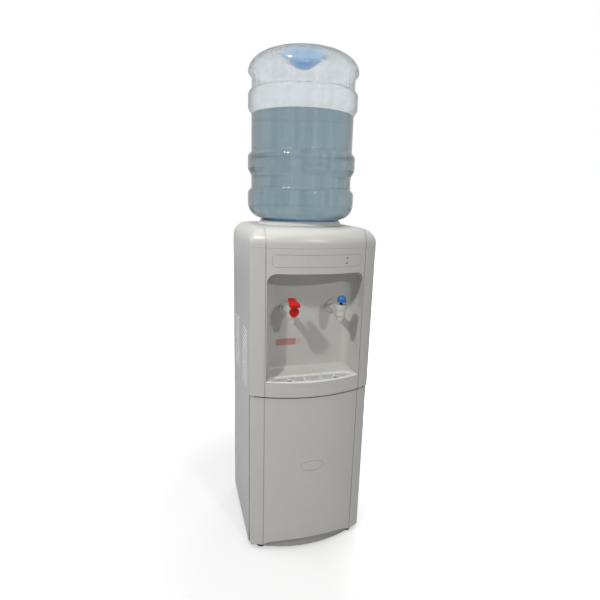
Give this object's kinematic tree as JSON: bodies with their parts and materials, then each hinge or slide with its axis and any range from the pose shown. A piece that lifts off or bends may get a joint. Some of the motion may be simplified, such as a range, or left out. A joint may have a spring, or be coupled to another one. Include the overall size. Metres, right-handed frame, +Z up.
{
  "type": "water dispenser",
  "caption": "Free-standing hot and cold water dispenser with an upturned bottle, two lever taps in a recess over a drip tray, and a storage cabinet behind a hinged door.",
  "frame": {"origin": "on the floor under the middle of the body", "axes": "+Z up, the front with the taps faces -Y, +X to the right as one looks at the front"},
  "size_m": [0.31, 0.329, 1.246],
  "materials": {
    "white_gloss": "glossy white moulding",
    "white_sheet": "satin white coating on sheet steel",
    "grey_plastic": "matt grey moulding",
    "dark_plastic": "matt black moulding",
    "steel": "plain stainless or zinc-coated steel",
    "aluminium": "plain extruded",
    "rubber": "matt",
    "foam": "closed-cell foam",
    "silicone": "translucent white hose",
    "bottle_plastic": "clear with a blue tint",
    "cap_plastic": "soft blue plastic",
    "water": "clear water",
    "red_plastic": "glossy red",
    "blue_plastic": "glossy blue",
    "amber_lens": "clear amber lens",
    "green_lens": "green plastic"
  },
  "bodies": {
    "cabinet": {"base_pan": "grey_plastic", "foot_front_left": "rubber", "foot_front_right": "rubber", "foot_rear_left": "rubber", "foot_rear_right": "rubber", "side_panel_left": "white_sheet", "side_panel_right": "white_sheet", "back_panel": "white_sheet", "cabinet_ceiling": "white_sheet", "tank_shelf": "steel", "front_panel": "white_gloss", "fascia_strip": "white_gloss", "heating_light": "amber_lens", "cooling_light": "green_lens", "door_magnet": "dark_plastic", "hinge_lower": "steel", "hinge_upper": "steel", "top_cover": "white_gloss", "bottle_seat": "white_gloss", "feed_probe": "white_gloss", "cold_tank": "steel", "cold_tank_jacket": "foam", "cold_block": "aluminium", "heat_sink": "aluminium", "fan_frame": "dark_plastic", "hot_tank": "steel", "heater_band": "steel", "hot_tank_jacket": "foam", "hot_hose": "silicone", "cold_hose": "silicone", "feed_hose": "silicone", "power_supply": "dark_plastic", "cord_gland": "dark_plastic", "drain_pipe": "silicone", "switch_housing": "dark_plastic", "hot_tap_body": "white_gloss", "hot_tap_nut": "white_gloss", "hot_tap_spring": "steel", "hot_tap_cap": "white_gloss", "cold_tap_body": "white_gloss", "cold_tap_nut": "white_gloss", "cold_tap_spring": "steel", "cold_tap_cap": "white_gloss"},
    "door": {"door": "white_gloss", "door_liner": "white_gloss", "door_strike": "steel"},
    "bottle": {"bottle": "bottle_plastic", "bottle_cap": "cap_plastic", "water": "water"},
    "drip_tray": {"drip_tray": "white_gloss"},
    "drip_grille": {"drip_grille": "white_gloss"},
    "fan_rotor": {"fan_rotor": "dark_plastic"},
    "drain_cap": {"drain_cap": "white_gloss"},
    "hot_switch": {"hot_switch": "red_plastic"},
    "cold_switch": {"cold_switch": "green_lens"},
    "hot_stem": {"hot_tap_stem": "dark_plastic"},
    "cold_stem": {"cold_tap_stem": "dark_plastic"},
    "hot_lever": {"hot_tap_lever": "red_plastic"},
    "cold_lever": {"cold_tap_lever": "blue_plastic"},
    "hot_latch": {"hot_tap_latch": "red_plastic"}
  },
  "joints": [
    {"name": "door_hinge", "type": "hinge", "parent": "cabinet", "child": "door", "pos_m": [-0.1468, -0.116, 0.224], "axis": [0, 0, -1], "range_deg": [0, 105]},
    {"name": "bottle_lift", "type": "slide", "parent": "cabinet", "child": "bottle", "axis": [0, 0, 1], "range_m": [0, 0.11]},
    {"name": "drip_tray_lift", "type": "slide", "parent": "cabinet", "child": "drip_tray", "axis": [0, 0, 1], "range_m": [0, 0.05]},
    {"name": "drip_grille_lift", "type": "slide", "parent": "drip_tray", "child": "drip_grille", "axis": [0, 0, 1], "range_m": [0, 0.05]},
    {"name": "hot_stem_lift", "type": "slide", "parent": "cabinet", "child": "hot_stem", "axis": [0, 0, 1], "range_m": [0, 0.002], "deforming": ["hot_tap_spring"]},
    {"name": "cold_stem_lift", "type": "slide", "parent": "cabinet", "child": "cold_stem", "axis": [0, 0, 1], "range_m": [0, 0.002], "deforming": ["cold_tap_spring"]},
    {"name": "hot_lever_press", "type": "hinge", "parent": "hot_stem", "child": "hot_lever", "pos_m": [-0.06, -0.145, 0.6717], "axis": [1, 0, 0], "range_deg": [0, 14], "stiffness_Nm_per_rad": 0.05},
    {"name": "cold_lever_press", "type": "hinge", "parent": "cold_stem", "child": "cold_lever", "pos_m": [0.06, -0.145, 0.6717], "axis": [1, 0, 0], "range_deg": [0, 14], "stiffness_Nm_per_rad": 0.05},
    {"name": "hot_latch_swing", "type": "hinge", "parent": "cabinet", "child": "hot_latch", "pos_m": [-0.06, -0.161, 0.6645], "axis": [-1, 0, 0], "range_deg": [0, 35], "stiffness_Nm_per_rad": 0.005},
    {"name": "hot_switch_rock", "type": "hinge", "parent": "cabinet", "child": "hot_switch", "pos_m": [0.0895, 0.1482, 0.7], "axis": [1, 0, 0], "range_deg": [0, 18]},
    {"name": "cold_switch_rock", "type": "hinge", "parent": "cabinet", "child": "cold_switch", "pos_m": [0.1105, 0.1482, 0.7], "axis": [1, 0, 0], "range_deg": [0, 18]},
    {"name": "fan_spin", "type": "hinge", "parent": "cabinet", "child": "fan_rotor", "pos_m": [0, 0.132, 0.69], "axis": [0, 1, 0], "continuous": true},
    {"name": "drain_cap_off", "type": "slide", "parent": "cabinet", "child": "drain_cap", "axis": [0, 1, 0], "range_m": [0, 0.03]}
  ],
  "couplings": [
    {"joint": "hot_lever_press", "follows": "hot_stem_lift", "rad_per_m": 122.17},
    {"joint": "cold_lever_press", "follows": "cold_stem_lift", "rad_per_m": 122.17}
  ]
}
